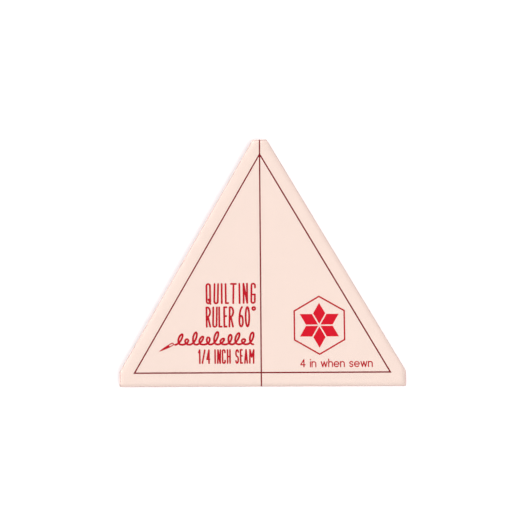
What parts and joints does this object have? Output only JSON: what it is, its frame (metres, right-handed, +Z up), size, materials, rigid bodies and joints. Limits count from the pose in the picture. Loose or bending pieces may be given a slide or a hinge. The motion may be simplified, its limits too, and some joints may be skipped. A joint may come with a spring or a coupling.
{
  "type": "quilting ruler",
  "caption": "Equilateral triangle quilting template of pink acrylic with blunted tips, printed seam lines, a centre line, lettering and a star emblem in red.",
  "frame": {"origin": "under the middle of the plate's bounding box, on its underside", "axes": "+X along the long base edge, +Y from the base edge to the blunted tip, +Z up out of the printed face"},
  "size_m": [0.1314, 0.115, 0.0031],
  "materials": {
    "pink_acrylic": "clear pale pink cast acrylic, polished faces and laser-cut edges",
    "red_ink": "opaque cured red printing ink, satin, slightly raised, on the star",
    "deep_red_ink": "the deeper red of the lettering, thread, needle and hexagon, satin, slightly raised",
    "dark_red_ink": "the darker red of the thin sewing lines, satin, slightly raised"
  },
  "bodies": {
    "root": {"acrylic_plate": "pink_acrylic", "angle_line_1_R": "deep_red_ink", "angle_line_2_U": "deep_red_ink", "angle_line_3_L": "deep_red_ink", "angle_line_4_E": "deep_red_ink", "angle_line_5_R": "deep_red_ink", "angle_line_6_six": "deep_red_ink", "angle_line_7_zero": "deep_red_ink", "angle_line_8_degree": "deep_red_ink", "centre_line": "dark_red_ink", "height_note_10_w": "deep_red_ink", "height_note_11_n": "deep_red_ink", "height_note_1_four": "deep_red_ink", "height_note_2_i": "deep_red_ink", "height_note_2_i_dot": "deep_red_ink", "height_note_3_n": "deep_red_ink", "height_note_4_w": "deep_red_ink", "height_note_5_h": "deep_red_ink", "height_note_6_e": "deep_red_ink", "height_note_7_n": "deep_red_ink", "height_note_8_s": "deep_red_ink", "height_note_9_e": "deep_red_ink", "needle": "deep_red_ink", "seam_line_base_left": "dark_red_ink", "seam_line_base_right": "dark_red_ink", "seam_line_left": "dark_red_ink", "seam_line_right": "dark_red_ink", "seam_note_10_A": "deep_red_ink", "seam_note_11_M": "deep_red_ink", "seam_note_1_one": "deep_red_ink", "seam_note_2_slash": "deep_red_ink", "seam_note_3_four": "deep_red_ink", "seam_note_4_I": "deep_red_ink", "seam_note_5_N": "deep_red_ink", "seam_note_6_C": "deep_red_ink", "seam_note_7_H": "deep_red_ink", "seam_note_8_S": "deep_red_ink", "seam_note_9_E": "deep_red_ink", "star_border_1": "deep_red_ink", "star_border_2": "deep_red_ink", "star_border_3": "deep_red_ink", "star_border_4": "deep_red_ink", "star_border_5": "deep_red_ink", "star_border_6": "deep_red_ink", "star_diamond_1": "red_ink", "star_diamond_2": "red_ink", "star_diamond_3": "red_ink", "star_diamond_4": "red_ink", "star_diamond_5": "red_ink", "star_diamond_6": "red_ink", "thread_loops": "deep_red_ink", "title_line_1_Q": "deep_red_ink", "title_line_2_U": "deep_red_ink", "title_line_3_I": "deep_red_ink", "title_line_4_L": "deep_red_ink", "title_line_5_T": "deep_red_ink", "title_line_6_I": "deep_red_ink", "title_line_7_N": "deep_red_ink", "title_line_8_G": "deep_red_ink"}
  },
  "joints": []
}
